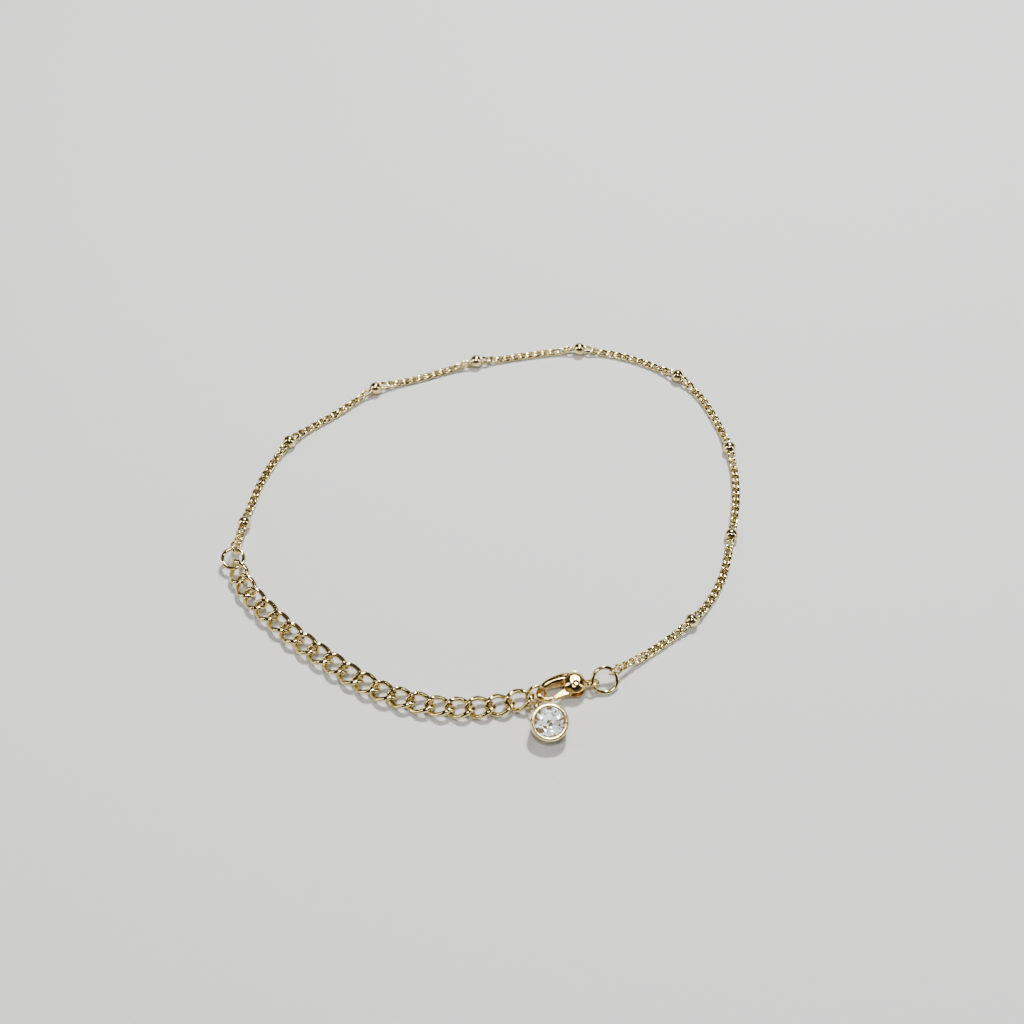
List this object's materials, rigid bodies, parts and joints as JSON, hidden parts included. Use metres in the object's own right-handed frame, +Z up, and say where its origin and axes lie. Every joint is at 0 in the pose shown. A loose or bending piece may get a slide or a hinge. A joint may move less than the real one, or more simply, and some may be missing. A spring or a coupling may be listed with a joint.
{
  "type": "link bracelet",
  "caption": "Fine satellite chain bracelet with small round beads, a heavier curb link extender, a lobster clasp and a round stone charm, lying closed on a flat surface.",
  "frame": {"origin": "under the middle of the bracelet's box, on the surface that it lies on", "axes": "+Z up, +X to the right across the loop, with the clasp on the -Y side, right of the middle"},
  "size_m": [0.0707, 0.0683, 0.0041],
  "materials": {
    "pale_gold": "polished pale gold plate",
    "clasp_gold": "polished yellow gold plate",
    "clear_stone": "clear faceted stone"
  },
  "bodies": {
    "bracelet": {"satellite_chain": "pale_gold", "bead_1": "pale_gold", "bead_2": "pale_gold", "bead_3": "pale_gold", "bead_4": "pale_gold", "bead_5": "pale_gold", "bead_6": "pale_gold", "bead_7": "pale_gold", "bead_8": "pale_gold", "bead_9": "pale_gold", "chain_end_link_left": "pale_gold", "chain_end_link_right": "pale_gold", "jump_ring_left": "pale_gold", "extender_link_01": "pale_gold", "extender_link_02": "pale_gold", "extender_link_03": "pale_gold", "extender_link_04": "pale_gold", "extender_link_05": "pale_gold", "extender_link_06": "pale_gold", "extender_link_07": "pale_gold", "extender_link_08": "pale_gold", "extender_link_09": "pale_gold", "extender_link_10": "pale_gold", "extender_link_11": "pale_gold", "extender_link_12": "pale_gold", "extender_link_13": "pale_gold", "extender_link_14": "pale_gold", "extender_link_15": "pale_gold", "extender_link_16": "pale_gold", "extender_link_17": "pale_gold", "extender_link_18": "pale_gold", "extender_link_19": "pale_gold", "end_ring": "pale_gold", "jump_ring_right": "pale_gold", "charm_ring": "pale_gold", "charm_setting": "pale_gold", "clasp_pin": "pale_gold", "clasp_body": "clasp_gold", "charm_stone": "clear_stone"},
    "lever": {"clasp_lever": "clasp_gold"}
  },
  "joints": [
    {"name": "lever_pivot", "type": "hinge", "parent": "bracelet", "child": "lever", "pos_m": [0.01152, -0.02609, 0.00125], "axis": [0, 0, -1], "range_deg": [0, 20], "stiffness_Nm_per_rad": 0.000005, "springref_deg": -17.19}
  ]
}
